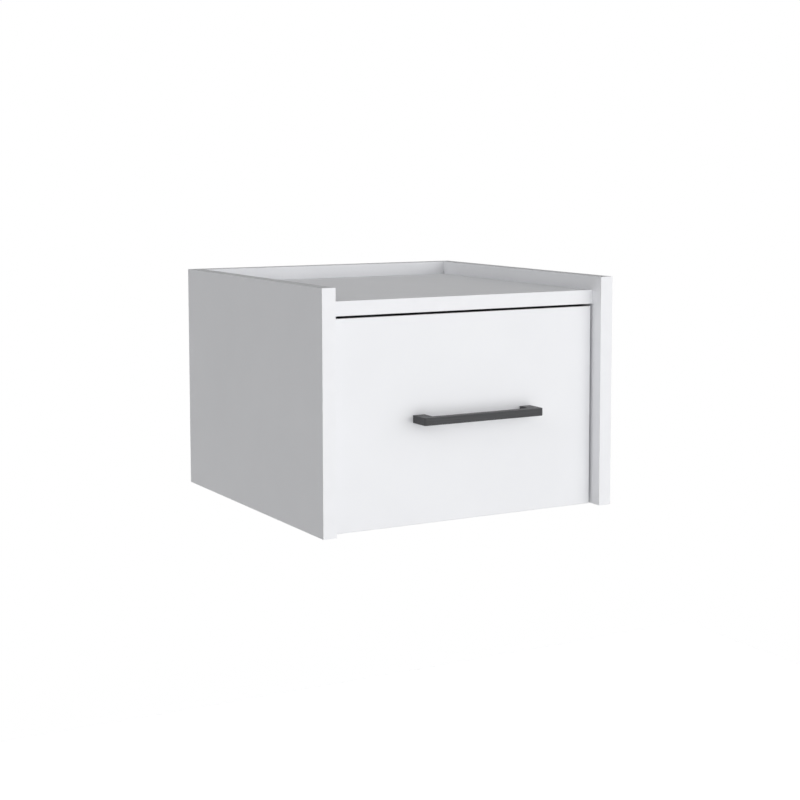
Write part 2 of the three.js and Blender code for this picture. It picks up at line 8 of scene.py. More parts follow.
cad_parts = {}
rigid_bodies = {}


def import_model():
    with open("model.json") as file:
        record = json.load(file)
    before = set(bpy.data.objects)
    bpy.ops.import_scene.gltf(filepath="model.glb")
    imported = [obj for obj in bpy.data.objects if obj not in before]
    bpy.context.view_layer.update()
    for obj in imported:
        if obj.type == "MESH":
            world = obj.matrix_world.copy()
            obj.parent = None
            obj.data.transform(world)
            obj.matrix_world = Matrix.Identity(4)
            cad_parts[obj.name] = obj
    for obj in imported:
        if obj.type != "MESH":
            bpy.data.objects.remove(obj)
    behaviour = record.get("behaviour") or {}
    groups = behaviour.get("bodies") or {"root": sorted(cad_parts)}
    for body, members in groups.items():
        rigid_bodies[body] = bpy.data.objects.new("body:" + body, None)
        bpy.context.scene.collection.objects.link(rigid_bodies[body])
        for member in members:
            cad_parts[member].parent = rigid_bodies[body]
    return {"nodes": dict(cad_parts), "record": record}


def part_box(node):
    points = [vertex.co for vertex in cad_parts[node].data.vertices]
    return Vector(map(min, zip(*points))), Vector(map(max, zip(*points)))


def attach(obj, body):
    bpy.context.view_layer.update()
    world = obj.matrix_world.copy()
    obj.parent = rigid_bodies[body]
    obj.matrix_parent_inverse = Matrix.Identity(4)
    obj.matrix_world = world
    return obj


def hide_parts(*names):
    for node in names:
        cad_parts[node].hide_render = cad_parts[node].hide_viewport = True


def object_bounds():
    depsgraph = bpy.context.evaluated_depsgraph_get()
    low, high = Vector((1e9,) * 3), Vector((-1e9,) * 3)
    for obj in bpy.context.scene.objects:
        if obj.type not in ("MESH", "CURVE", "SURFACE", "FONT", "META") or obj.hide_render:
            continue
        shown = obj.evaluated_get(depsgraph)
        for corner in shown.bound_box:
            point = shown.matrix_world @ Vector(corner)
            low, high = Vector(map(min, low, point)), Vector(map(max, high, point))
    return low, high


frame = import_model()
cad_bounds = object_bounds()
nodes = frame["nodes"]

MM = 0.001
SIDES = {"left": -1, "right": 1}
UP = (0, 0, 1)
BACK = (0, 1, 0)
FRONT = (0, -1, 0)
BODY_OF = {
    node: body for body, members in frame["record"]["behaviour"]["bodies"].items() for node in members
}
SLOT_OF = {part["node"]: part["material_slot"] for part in frame["record"]["subparts"]}

# Camera: at the photograph's place. The photograph's frame lies below and beside the camera's axis,
# which keeps its upright edges almost parallel. The shifts, in frame widths, go half of that way.
CAMERA_PLACE = Vector((-0.8846, -1.7891, 0.2426))
CAMERA_YAW = math.radians(30.018)
CAMERA_PITCH = math.radians(5.307)
CAMERA_LENS_MM = 73.985
CAMERA_SHIFT = (-0.0375, -0.1)
SENSOR_MM = 36
CLIP_START = 0.05
CLIP_END = 200

# Light: soft lobes, each with a direction, a power and a level.
LOBES = [
    ((0.0, -1.0, 0.0), 8.0, 1.73),
    ((0.0, -1.0, -0.45), 4.0, 0.55),
    ((-0.8, -0.6, 0.1), 4.0, 0.12),
    ((0.6, -0.8, 0.1), 8.0, 2.18),
    ((-0.8, 0.0, 0.5), 12.0, 1.35),
    ((-0.7, -0.4, 0.7), 8.0, 1.00),
    ((1.0, 0.0, -0.3), 6.0, 0.72),
    ((0.4, 1.0, -0.5), 8.0, 2.00),
]
BACKGROUND_LEVEL = 1.0

# Floor: a pale board far enough below the hung cabinet to leave room for a view from underneath.
FLOOR_DROP = 1.35
FLOOR_HALF_SIZE = 3.0
FLOOR_COLOUR = (0.8, 0.8, 0.8)
FLOOR_SEEN_LEVEL = 3.8


def make_camera():
    data = bpy.data.cameras.new("camera")
    data.lens = CAMERA_LENS_MM
    data.sensor_width = SENSOR_MM
    data.shift_x, data.shift_y = CAMERA_SHIFT
    data.clip_start = CLIP_START
    data.clip_end = CLIP_END
    camera = bpy.data.objects.new("camera", data)
    bpy.context.scene.collection.objects.link(camera)
    camera.location = CAMERA_PLACE
    camera.rotation_euler = (math.pi / 2 - CAMERA_PITCH, 0, -CAMERA_YAW)
    bpy.context.scene.camera = camera


# Node trees. A value for a socket is a number, a colour, a vector or another node's output.

# How much of a surface's normal has to lie along an axis for the surface to count as facing it.
FACING_LEAST = 0.7
UPPER_FACE_LEAST = 0.5

# How near another face has to be to shade a corner, and how many rays look for one.
CORNER_REACH = 14 * MM
CORNER_SAMPLES = 4


class Tree:
    def __init__(self, holder):
        holder.use_nodes = True
        self.tree = holder.node_tree
        self.tree.nodes.clear()

    def node(self, kind, inputs=None, **settings):
        node = self.tree.nodes.new(kind)
        for key, value in settings.items():
            setattr(node, key, value)
        for key, value in (inputs or {}).items():
            self.put(node.inputs[key], value)
        return node

    def put(self, socket, value):
        if isinstance(value, bpy.types.NodeSocket):
            self.tree.links.new(value, socket)
        elif isinstance(value, tuple) and socket.type == "RGBA":
            socket.default_value = (*value, 1)
        else:
            socket.default_value = value

    def math(self, operation, *values):
        return self.node("ShaderNodeMath", dict(enumerate(values)), operation=operation).outputs[0]

    def vector(self, operation, *values):
        node = self.node("ShaderNodeVectorMath", dict(enumerate(values)), operation=operation)
        return node.outputs["Value" if operation == "DOT_PRODUCT" else "Vector"]

    def axes(self, vector):
        return self.node("ShaderNodeSeparateXYZ", {0: vector}).outputs

    def mix(self, factor, first, second):
        """A colour between two, by a factor."""
        return self.node("ShaderNodeMix", {0: factor, 6: first, 7: second}, data_type="RGBA").outputs[2]

    def mix_values(self, factor, first, second):
        return self.node("ShaderNodeMix", {0: factor, 2: first, 3: second}).outputs[0]

    def ramp(self, value, low, high, to_low=0.0, to_high=1.0):
        inputs = {0: value, 1: low, 2: high, 3: to_low, 4: to_high}
        return self.node("ShaderNodeMapRange", inputs, clamp=True).outputs[0]

    def seen_directly(self):
        path = self.node("ShaderNodeLightPath").outputs
        straight = self.math("MAXIMUM", path["Is Camera Ray"], path["Is Glossy Ray"])
        return self.math("MAXIMUM", straight, path["Is Transmission Ray"])


class Surface(Tree):
    """A Principled material, with the object's own coordinates and normal at hand."""

    def __init__(self, name):
        self.material = bpy.data.materials.new(name)
        super().__init__(self.material)
        self.shader = self.node("ShaderNodeBsdfPrincipled")
        self.node("ShaderNodeOutputMaterial", {"Surface": self.shader.outputs[0]})
        coordinates = self.node("ShaderNodeTexCoord").outputs
        self.place = coordinates["Object"]
        self.normal = coordinates["Normal"]

    def finish(self, colour, roughness, metallic=0.0, specular=0.5):
        self.put(self.shader.inputs["Base Color"], colour)
        self.put(self.shader.inputs["Roughness"], roughness)
        self.put(self.shader.inputs["Metallic"], metallic)
        self.put(self.shader.inputs["Specular IOR Level"], specular)
        return self.material

    def noise(self, scale, detail, stretch=(1, 1, 1)):
        place = self.vector("MULTIPLY", self.place, Vector(stretch))
        inputs = {"Vector": place, "Scale": scale, "Detail": detail}
        return self.node("ShaderNodeTexNoise", inputs).outputs[0]

    def cells(self, output, scale, stretch):
        place = self.vector("MULTIPLY", self.place, Vector(stretch))
        return self.node("ShaderNodeTexVoronoi", {"Vector": place, "Scale": scale}).outputs[output]

    def bump(self, height, distance, strength):
        inputs = {"Height": height, "Distance": distance, "Strength": strength}
        self.put(self.shader.inputs["Normal"], self.node("ShaderNodeBump", inputs).outputs[0])

    def shade_corners(self, colour, power):
        """Paints shade into a colour where other faces close in on it."""
        inputs = {"Distance": CORNER_REACH}
        openness = self.node("ShaderNodeAmbientOcclusion", inputs, samples=CORNER_SAMPLES).outputs["AO"]
        shade = self.math("POWER", openness, power)
        return self.mix(shade, BLACK, colour)

    def facing(self, axis, least=FACING_LEAST, both_ways=False):
        """1 where the surface faces along an axis, and otherwise 0."""
        normal = self.vector("ABSOLUTE", self.normal) if both_ways else self.normal
        return self.math("GREATER_THAN", self.vector("DOT_PRODUCT", normal, Vector(axis)), least)


# World: what lights the object, and the white that the camera and reflections see.

def make_world():
    world = bpy.data.worlds.new("studio")
    bpy.context.scene.world = world
    tree = Tree(world)
    direction = tree.node("ShaderNodeTexCoord").outputs["Generated"]
    level = 0.0
    for aim, power, strength in LOBES:
        along = tree.vector("DOT_PRODUCT", direction, Vector(aim).normalized())
        lobe = tree.math("POWER", tree.math("MAXIMUM", along, 0.0), power)
        level = tree.math("MULTIPLY_ADD", lobe, strength, level)
    light = tree.node("ShaderNodeBackground", {"Color": (1, 1, 1), "Strength": level})
    seen = tree.node("ShaderNodeBackground", {"Color": (1, 1, 1), "Strength": BACKGROUND_LEVEL})
    inputs = {0: tree.seen_directly(), 1: light.outputs[0], 2: seen.outputs[0]}
    mix = tree.node("ShaderNodeMixShader", inputs)
    tree.node("ShaderNodeOutputWorld", {"Surface": mix.outputs[0]})


def make_floor():
    low = cad_bounds[0].z - FLOOR_DROP
    s = FLOOR_HALF_SIZE
    mesh = bpy.data.meshes.new("floor")
    mesh.from_pydata([(-s, -s, low), (s, -s, low), (s, s, low), (-s, s, low)], [], [(0, 1, 2, 3)])
    floor = bpy.data.objects.new("floor", mesh)
    bpy.context.scene.collection.objects.link(floor)
    material = bpy.data.materials.new("floor")
    tree = Tree(material)
    bright = tuple(channel * FLOOR_SEEN_LEVEL for channel in FLOOR_COLOUR)
    colour = tree.mix(tree.seen_directly(), FLOOR_COLOUR, bright)
    diffuse = tree.node("ShaderNodeBsdfDiffuse", {"Color": colour})
    tree.node("ShaderNodeOutputMaterial", {"Surface": diffuse.outputs[0]})
    mesh.materials.append(material)


# Materials. Sizes in them are in metres, so a scale of 1000 gives marks about a millimetre across.

# The darker and the lighter colour of each finish.
TONES = {
    "melamine": ((0.858, 0.865, 0.887), (0.872, 0.879, 0.901)),
    "graphite": ((0.060, 0.061, 0.064), (0.092, 0.093, 0.097)),
    "coated_steel": ((0.76, 0.76, 0.75), (0.80, 0.80, 0.79)),
    "zinc_steel": ((0.50, 0.52, 0.56), (0.68, 0.69, 0.70)),
    "cast_zinc": ((0.34, 0.35, 0.36), (0.50, 0.50, 0.51)),
    "nylon": ((0.76, 0.75, 0.70), (0.83, 0.82, 0.78)),
    "hardboard": ((0.25, 0.15, 0.085), (0.38, 0.25, 0.15)),
    "hardboard_face": ((0.79, 0.79, 0.80), (0.83, 0.83, 0.84)),
    "beech": ((0.52, 0.33, 0.17), (0.68, 0.48, 0.28)),
    "chips": ((0.56, 0.42, 0.27), (0.70, 0.57, 0.40)),
}
CHIP_FLECK = (0.36, 0.24, 0.14)
BEECH_FLECK = (0.36, 0.20, 0.10)
BLACK = (0.0, 0.0, 0.0)

# The parts of a noise, which varies around a half, that ramps spread over the whole way from one
# tone or roughness to the other. A fleck sets in over a short range where its noise is high.
NOISE_RANGE = (0.3, 0.7)
NOISE_MIDDLE = (0.35, 0.65)
STROKE_RANGE = (0.36, 0.64)
CHIP_FLECK_RANGE = (0.57, 0.66)
BEECH_FLECK_RANGE = (0.60, 0.68)

# How deep the fine relief of each finish is.
RELIEF = {
    "melamine": 0.05 * MM,
    "edge_band": 0.03 * MM,
    "graphite": 0.03 * MM,
    "coated_steel": 0.05 * MM,
    "zinc_steel": 0.01 * MM,
    "cast_zinc": 0.04 * MM,
    "nylon": 0.03 * MM,
    "hardboard": 0.06 * MM,
    "beech": 0.08 * MM,
}

# The top edges of the rim and of the drawer front are painted shade: a darker white than the faces.
TOP_EDGE_PAINTED_SHADE = (0.61, 0.616, 0.63)
SKIN_THICKNESS = 0.4 * MM

# How strong the painted shade is in the corners of the tray and in the gap over the drawer front.
# The tray's painted shade starts a margin under its surface.
TRAY_CORNER_POWER = 0.2
GAP_CORNER_POWER = 0.6
TRAY_MARGIN = 1 * MM

# Bare chipboard: the scale and the stretch of its chips, the part of their random values that goes
# from the darker tone to the lighter one, and its roughness.
CHIP_SCALE = 620
CHIP_STRETCH = (1, 1, 1.7)
CHIP_TONE_RANGE = (0.1, 0.9)
BARE_ROUGHNESS = 0.9

# The pitch of the screen pattern on hardboard, the share of the finer strokes in brushed metal, and
# how much finer a bare metal's grain is than its mottle.
SCREEN_PITCH = 1.3 * MM
FINE_STROKES_SHARE = 0.4
METAL_GRAIN_FINENESS = 6

# The board faces that carry no melamine, as the axes that they face along.
RAW_AXES = {
    "left_side_panel": (0, 1, 0), "right_side_panel": (0, 1, 0), "top_panel": (1, 1, 0),
    "bottom_panel": (1, 0, 0), "back_panel": (1, 0, 0), "drawer_front": (1, 0, 1),
    "drawer_left_side": (0, 1, 0), "drawer_right_side": (0, 1, 0), "drawer_back": (1, 0, 0),
}
RIM_BOARDS = (
    "left_side_panel", "right_side_panel", "back_panel",
    "left_side_front_edge_band", "right_side_front_edge_band",
)


def chipboard(surface):
    """The colour and the height of bare chipboard."""
    chips = surface.cells("Color", CHIP_SCALE, CHIP_STRETCH)
    tone = surface.node("ShaderNodeSeparateColor", {0: chips}).outputs[0]
    colour = surface.mix(surface.ramp(tone, *CHIP_TONE_RANGE), *TONES["chips"])
    flecks = surface.ramp(surface.noise(scale=900, detail=4, stretch=(1, 1, 2.5)), *CHIP_FLECK_RANGE)
    height = surface.cells("Distance", CHIP_SCALE, CHIP_STRETCH)
    return surface.mix(flecks, colour, CHIP_FLECK), height


def board_surface(node):
    """White melamine on chipboard, which shows in the cut faces and on the bare edges."""
    surface = Surface(node)
    low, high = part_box(node)
    from_low = surface.vector("SUBTRACT", surface.place, low)
    from_high = surface.vector("SUBTRACT", high, surface.place)
    nearest = surface.axes(surface.vector("MINIMUM", from_low, from_high))
    depth = surface.math("MINIMUM", surface.math("MINIMUM", nearest[0], nearest[1]), nearest[2])
    cut = surface.math("GREATER_THAN", depth, SKIN_THICKNESS)
    bare = surface.math("MAXIMUM", cut, surface.facing(RAW_AXES[node], both_ways=True))

    cloud = surface.ramp(surface.noise(scale=14, detail=4), *NOISE_MIDDLE)
    white = surface.mix(cloud, *TONES["melamine"])
    # Painted shade: the rim's up-facing top edge gets a darker white.
    if node in RIM_BOARDS:
        near_top = surface.math("LESS_THAN", nearest[2], SKIN_THICKNESS)
        painted_shade_top_edge = surface.math("MULTIPLY", near_top, surface.facing(UP))
        white = surface.mix(painted_shade_top_edge, white, TOP_EDGE_PAINTED_SHADE)
    # Painted shade: a darker white in the corners of the tray.
    if node in RIM_BOARDS or node == "top_panel":
        tray_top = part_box("top_panel")[1].z - TRAY_MARGIN
        in_tray = surface.math("GREATER_THAN", surface.axes(surface.place)[2], tray_top)
        white = surface.shade_corners(white, surface.math("MULTIPLY", in_tray, TRAY_CORNER_POWER))
    core, chips = chipboard(surface)
    grain = surface.noise(scale=1900, detail=3)
    surface.bump(surface.mix_values(bare, grain, chips), RELIEF["melamine"], strength=0.35)
    sheen = surface.ramp(surface.noise(scale=160, detail=3), *NOISE_RANGE, to_low=0.5, to_high=0.6)
    roughness = surface.math("MAXIMUM", sheen, surface.math("MULTIPLY", bare, BARE_ROUGHNESS))
    return surface.finish(surface.mix(bare, white, core), roughness, specular=0.2)


def edge_band_surface(node):
    surface = Surface(node)
    streaks = surface.ramp(surface.noise(scale=60, detail=4), *NOISE_MIDDLE)
    white = surface.mix(streaks, *TONES["melamine"])
    # Painted shade: the up-facing faces of the rim's bands get a darker white.
    if node in RIM_BOARDS:
        white = surface.mix(surface.facing(UP), white, TOP_EDGE_PAINTED_SHADE)
    # Painted shade: the drawer front's top edge darkens in the gap over it.
    if node == "drawer_front_edge_band":
        painted_shade_gap_edge = surface.shade_corners(TOP_EDGE_PAINTED_SHADE, GAP_CORNER_POWER)
        white = surface.mix(surface.facing(UP), white, painted_shade_gap_edge)
    surface.bump(surface.noise(scale=1500, detail=3), RELIEF["edge_band"], strength=0.3)
    roughness = surface.ramp(surface.noise(scale=220, detail=2), *NOISE_RANGE, to_low=0.42, to_high=0.52)
    return surface.finish(white, roughness, specular=0.2)


def graphite_surface():
    """Dark brushed metal. The brushing runs along X."""
    surface = Surface("graphite")
    brushing = surface.noise(scale=2600, detail=5, stretch=(0.012, 1, 1))
    fine = surface.noise(scale=9000, detail=3, stretch=(0.02, 1, 1))
    coarse = surface.math("MULTIPLY", brushing, 1 - FINE_STROKES_SHARE)
    strokes = surface.math("MULTIPLY_ADD", fine, FINE_STROKES_SHARE, coarse)
    colour = surface.mix(surface.ramp(strokes, *STROKE_RANGE), *TONES["graphite"])
    surface.bump(strokes, RELIEF["graphite"], strength=0.35)
    roughness = surface.ramp(strokes, *NOISE_RANGE, to_low=0.46, to_high=0.34)
    return surface.finish(colour, roughness, metallic=0.05, specular=0.09)


def coated_steel_surface():
    """Steel sheet with a white powder coating and its faint orange peel."""
    surface = Surface("coated_steel")
    peel = surface.noise(scale=700, detail=2)
    surface.bump(peel, RELIEF["coated_steel"], strength=0.3)
    cloud = surface.ramp(surface.noise(scale=60, detail=3), *NOISE_RANGE)
    colour = surface.mix(cloud, *TONES["coated_steel"])
    return surface.finish(colour, surface.ramp(peel, *NOISE_RANGE, to_low=0.30, to_high=0.38))


def metal_surface(name, scale, dull, bright):
    """Bare metal with a mottle and a finer grain. Its roughness goes from dull to bright."""
    surface = Surface(name)
    mottle = surface.ramp(surface.noise(scale=scale, detail=4), *NOISE_MIDDLE)
    grain = surface.noise(scale=scale * METAL_GRAIN_FINENESS, detail=3)
    surface.bump(grain, RELIEF[name], strength=0.4)
    shine = surface.ramp(mottle, 0, 1, to_low=dull, to_high=bright)
    return surface.finish(surface.mix(mottle, *TONES[name]), shine, metallic=1.0)


def nylon_surface():
    surface = Surface("nylon")
    cloud = surface.ramp(surface.noise(scale=300, detail=3), *NOISE_RANGE)
    surface.bump(surface.noise(scale=2400, detail=2), RELIEF["nylon"], strength=0.25)
    colour = surface.mix(cloud, *TONES["nylon"])
    return surface.finish(colour, surface.ramp(cloud, 0, 1, to_low=0.5, to_high=0.42), specular=0.4)


def hardboard_surface():
    """Hardboard with a white face above, and its brown screened face and edges below."""
    surface = Surface("hardboard")
    lacquered = surface.facing(UP, least=UPPER_FACE_LEAST)
    fibres = surface.noise(scale=900, detail=5, stretch=(1, 0.35, 1))
    brown = surface.mix(surface.ramp(fibres, *NOISE_MIDDLE), *TONES["hardboard"])
    waves = [
        surface.math("SINE", surface.math("MULTIPLY", along, math.tau / SCREEN_PITCH))
        for along in surface.axes(surface.place)[:2]
    ]
    screen = surface.math("MULTIPLY", *waves)
    cloud = surface.ramp(surface.noise(scale=40, detail=3), *NOISE_RANGE)
    white = surface.mix(cloud, *TONES["hardboard_face"])
    surface.bump(surface.mix_values(lacquered, screen, fibres), RELIEF["hardboard"], strength=0.3)
    roughness = surface.ramp(lacquered, 0, 1, to_low=0.85, to_high=0.5)
    return surface.finish(surface.mix(lacquered, brown, white), roughness, specular=0.25)


def beech_surface():
    """Beech with its grain along X, and the short dark flecks that beech has."""
    surface = Surface("beech")
    grain = surface.noise(scale=900, detail=5, stretch=(0.08, 1, 1))
    flecks = surface.ramp(surface.noise(scale=2600, detail=2, stretch=(0.2, 1, 1)), *BEECH_FLECK_RANGE)
    wood = surface.mix(surface.ramp(grain, *NOISE_MIDDLE), *TONES["beech"])
    surface.bump(grain, RELIEF["beech"], strength=0.4)
    roughness = surface.ramp(grain, *NOISE_RANGE, to_low=0.75, to_high=0.62)
    return surface.finish(surface.mix(flecks, wood, BEECH_FLECK), roughness, specular=0.3)


LOOKS = {
    "graphite": graphite_surface(),
    "coated_steel": coated_steel_surface(),
    "zinc_steel": metal_surface("zinc_steel", scale=500, dull=0.42, bright=0.28),
    "cast_zinc": metal_surface("cast_zinc", scale=700, dull=0.58, bright=0.44),
    "nylon": nylon_surface(),
    "hardboard": hardboard_surface(),
    "beech": beech_surface(),
}

# Softened edges: the width of the bevel on the CAD nodes that stay, by their finish, and a finer one
# for the boards that carry an edge band.
BEVEL_WIDTHS = {"melamine": 0.4 * MM, "edge_band": 0.12 * MM, "graphite": 0.45 * MM, "hardboard": 0.15 * MM}
BANDED = ("left_side_panel", "right_side_panel", "top_panel", "drawer_front")
BANDED_BEVEL_WIDTH = 0.15 * MM
BEVEL_STEPS = 3
MERGE_DISTANCE = 0.001 * MM
FLAT_ANGLE = math.radians(1)
SHARP_ANGLE = math.radians(40)


def soften_edges(obj, width):
    weld = obj.modifiers.new("weld", "WELD")
    weld.merge_threshold = MERGE_DISTANCE
    plain = obj.modifiers.new("plain", "DECIMATE")
    plain.decimate_type = "DISSOLVE"
    plain.angle_limit = FLAT_ANGLE
    bevel = obj.modifiers.new("bevel", "BEVEL")
    bevel.width = width
    bevel.segments = BEVEL_STEPS
    bevel.limit_method = "ANGLE"
    bevel.angle_limit = SHARP_ANGLE
    bevel.harden_normals = True


def dress(node):
    """Gives a CAD node that stays its material and its softened edges."""
    obj = nodes[node]
    slot = SLOT_OF[node]
    makers = {"melamine": board_surface, "edge_band": edge_band_surface}
    material = makers[slot](node) if slot in makers else LOOKS[slot]
    obj.data.materials.clear()
    obj.data.materials.append(material)
    soften_edges(obj, BANDED_BEVEL_WIDTH if node in BANDED else BEVEL_WIDTHS[slot])


# Small pieces, made along their own X from 0.

# How many sides the turned pieces have.
ROUND = 32
FINE_ROUND = 48
ROLLER_ROUND = 64
DOWEL_ROUND = 120

# Steps in a rounded corner and in one turn of a thread, the share of a thread's pitch that its ridge
# takes, and how far a recess's cutter stands out of the face, as a share of the recess's depth.
CORNER_STEPS = 3
THREAD_STEPS = 8
THREAD_FLANK_SHARE = 0.7
WEDGE_RISE_SHARE = 0.3
SMOOTH_ANGLE = math.radians(35)

# Outlines of turned pieces: places along the axis and radii, in millimetres.
OUTLINES = {
    "cam_bolt_head": [
        (10.0, 1.6), (10.0, 3.5), (11.5, 3.5), (11.5, 2.0), (29.5, 2.0), (30.1, 1.5), (32.3, 1.5),
        (33.0, 2.7), (34.0, 3.0), (35.4, 2.7), (36.6, 1.7), (37.0, 1.2), (37.0, 0),
    ],
    "cam_lock": [(0, 0), (0, 7.3), (0.9, 7.5), (1.1, 7.1), (12.2, 7.1), (12.5, 6.8), (12.5, 0)],
    "cam_lock_mouth": [(0, 0), (0, 3.3), (12.0, 3.3), (12.0, 0)],
    "cam_lock_slot": [(5.8, 4.6), (9.2, 4.6), (9.2, 9.0), (5.8, 9.0)],
    "dowel": [(0, 0), (0, 3.1), (1.0, 4.0), (29.0, 4.0), (30.0, 3.1), (30.0, 0)],
    "roller": [
        (0, 2.8), (0, 4.6), (0.35, 4.9), (0.35, 7.4), (0, 7.8), (0, 8.5), (0.6, 8.92), (3.25, 9.0),
        (5.9, 8.92), (6.5, 8.5), (6.5, 7.7), (5.4, 7.3), (5.4, 5.0), (6.5, 4.6), (6.5, 2.8),
    ],
    "axle": [
        (0, 0), (0, 2.3), (0.25, 2.5), (8.0, 2.5), (8.0, 4.0), (8.25, 3.9), (8.6, 3.0), (8.75, 1.6),
        (8.8, 0),
    ],
}

# How far the corners of each outline are rounded.
CORNER_CUTS = {
    "screw_head": 0.35 * MM,
    "cam_bolt_head": 0.3 * MM,
    "cam_lock": 0.25 * MM,
    "dowel": 0.3 * MM,
    "roller": 0.2 * MM,
    "axle": 0.15 * MM,
}

# Screws: the plain neck under the head, and the step from it to the thread's core. The head's outline
# is in shares of its thickness and of its radius. The tip's length is in shank radii. It turns
# blunter at a share of that length from its end, where its radius is a share of the core's.
SCREW_NECK = 1.2 * MM
SCREW_STEP = 0.3 * MM
SCREW_HEAD_SHARES = [(0, 0), (0, 0.62), (0.5, 0.97), (0.97, 1), (1, 0.96)]
SCREW_TIP_LENGTH = 1.6
SCREW_TIP_SHARES = (0.3, 0.35)
SCREWS = {
    "rail_screw": {
        "head_radius": 3.5 * MM, "head_thickness": 1.5 * MM, "shank_radius": 1.75 * MM,
        "length": 13 * MM, "pitch": 1.3 * MM, "core_share": 0.72,
        "recess": {"depth": 0.8 * MM, "reach": 1.9 * MM, "width": 0.8 * MM, "taper": 0.5},
    },
    "box_screw": {
        "head_radius": 3.5 * MM, "head_thickness": 2 * MM, "shank_radius": 2 * MM,
        "length": 40 * MM, "pitch": 1.8 * MM, "core_share": 0.72,
        "recess": {"depth": 1.2 * MM, "reach": 2.1 * MM, "width": 0.9 * MM, "taper": 0.5},
    },
    "pull_screw": {
        "head_radius": 4 * MM, "head_thickness": 2.5 * MM, "shank_radius": 2 * MM,
        "length": 24 * MM, "pitch": 0.7 * MM, "core_share": 0.82,
        "recess": {"depth": 1.4 * MM, "reach": 2.4 * MM, "width": 1.0 * MM, "taper": 0.5},
    },
}

# Cam bolt: its threaded end.
BOLT_TIP_RADIUS = 1.4 * MM
BOLT_THREAD = {"start": 0.3 * MM, "end": 10 * MM, "core": 1.6 * MM, "crest": 2.5 * MM, "pitch": 2.0 * MM}

# Cam lock: how deep the bolt's axis lies, where the mouth starts, how far the slot is off the middle,
# the recess for the driver, and the mark that points at the mouth.
CAM_AXIS_DEPTH = 7.5 * MM
CAM_MOUTH_START = -1.5 * MM
CAM_SLOT_OFFSET = 1.2 * MM
CAM_RECESS = {"depth": 3.4 * MM, "reach": 4.2 * MM, "width": 1.5 * MM, "taper": 0.55}
CAM_MARK = {"depth": 0.5 * MM, "reach": 1.3 * MM, "width": 0.7 * MM, "taper": 0.6}
CAM_MARK_PLACE = 5.6 * MM

FLUTES = 20
FLUTE_DEPTH = 0.28 * MM


def outline(name):
    """The points of an outline in metres, with rounded corners where a cut is given for it."""
    points = [(place * MM, radius * MM) for place, radius in OUTLINES[name]]
    return soften(points, CORNER_CUTS[name]) if name in CORNER_CUTS else points


def soften(points, cut):
    """Rounds the inner corners of a profile, each by at most a cut along its two lines."""
    softened = [points[0]]
    for before, corner, after in zip(points, points[1:], points[2:]):
        corner = Vector(corner)
        to_before = Vector(before) - corner
        to_after = Vector(after) - corner
        start = corner + to_before.normalized() * min(cut, to_before.length / 2)
        end = corner + to_after.normalized() * min(cut, to_after.length / 2)
        for i in range(CORNER_STEPS + 1):
            t = i / CORNER_STEPS
            softened.append(tuple(start * (1 - t) ** 2 + corner * 2 * t * (1 - t) + end * t ** 2))
    softened.append(points[-1])
    return softened


def thread(start, end, core, crest, pitch):
    """Rows of a thread between two places: each a place, a radius, the crest's height and the pitch."""
    count = round((end - start) / pitch * THREAD_STEPS)
    rows = []
    for i in range(count + 1):
        fade = min(1, i / THREAD_STEPS, (count - i) / THREAD_STEPS)
        rows.append((start + (end - start) * i / count, core, (crest - core) * fade, pitch))
    return rows


def turned(name, rows, closed=False, flutes=0, segments=ROUND):
    """A turned piece. A row is a place and a radius, and on a thread also its height and its pitch."""
    vertices, faces, rings = [], [], []
    for place, radius, *ridge in rows:
        if radius == 0:
            rings.append([len(vertices)])
            vertices.append((place, 0, 0))
            continue
        ring = []
        for i in range(segments):
            turn = i / segments
            r = radius
            if ridge:
                height, pitch = ridge
                phase = (place / pitch - turn) % 1
                r += height * max(0, 1 - abs(2 * phase - 1) / THREAD_FLANK_SHARE)
            if flutes:
                r -= FLUTE_DEPTH * (1 + math.cos(math.tau * turn * flutes)) / 2
            ring.append(len(vertices))
            angle = math.tau * turn
            vertices.append((place, r * math.cos(angle), r * math.sin(angle)))
        rings.append(ring)
    if closed:
        rings.append(rings[0])
    for a, b in zip(rings, rings[1:]):
        if len(a) == 1 and len(b) == 1:
            continue
        for i in range(segments):
            j = (i + 1) % segments
            corners = [a[i % len(a)], a[j % len(a)], b[j % len(b)], b[i % len(b)]]
            faces.append(list(dict.fromkeys(corners)))
    mesh = bpy.data.meshes.new(name)
    mesh.from_pydata(vertices, [], faces)
    work = bmesh.new()
    work.from_mesh(mesh)
    bmesh.ops.recalc_face_normals(work, faces=work.faces)
    work.to_mesh(mesh)
    work.free()
    obj = bpy.data.objects.new(name, mesh)
    bpy.context.scene.collection.objects.link(obj)
    return obj


def wedge(depth, reach, width, taper):
    """A cutter for one slot of a driver recess: it narrows from the face inwards."""
    mesh = bpy.data.meshes.new("wedge")
    rise = depth * WEDGE_RISE_SHARE
    vertices = []
    for x, share in ((-rise, 1 + (1 - taper) * WEDGE_RISE_SHARE), (depth, taper)):
        for y, z in ((-1, -1), (1, -1), (1, 1), (-1, 1)):
            vertices.append((x, y * reach * share, z * width / 2 * share))
    faces = [(0, 3, 2, 1), (4, 5, 6, 7), (0, 1, 5, 4), (1, 2, 6, 5), (2, 3, 7, 6), (3, 0, 4, 7)]
    mesh.from_pydata(vertices, [], faces)
    obj = bpy.data.objects.new("wedge", mesh)
    bpy.context.scene.collection.objects.link(obj)
    return obj


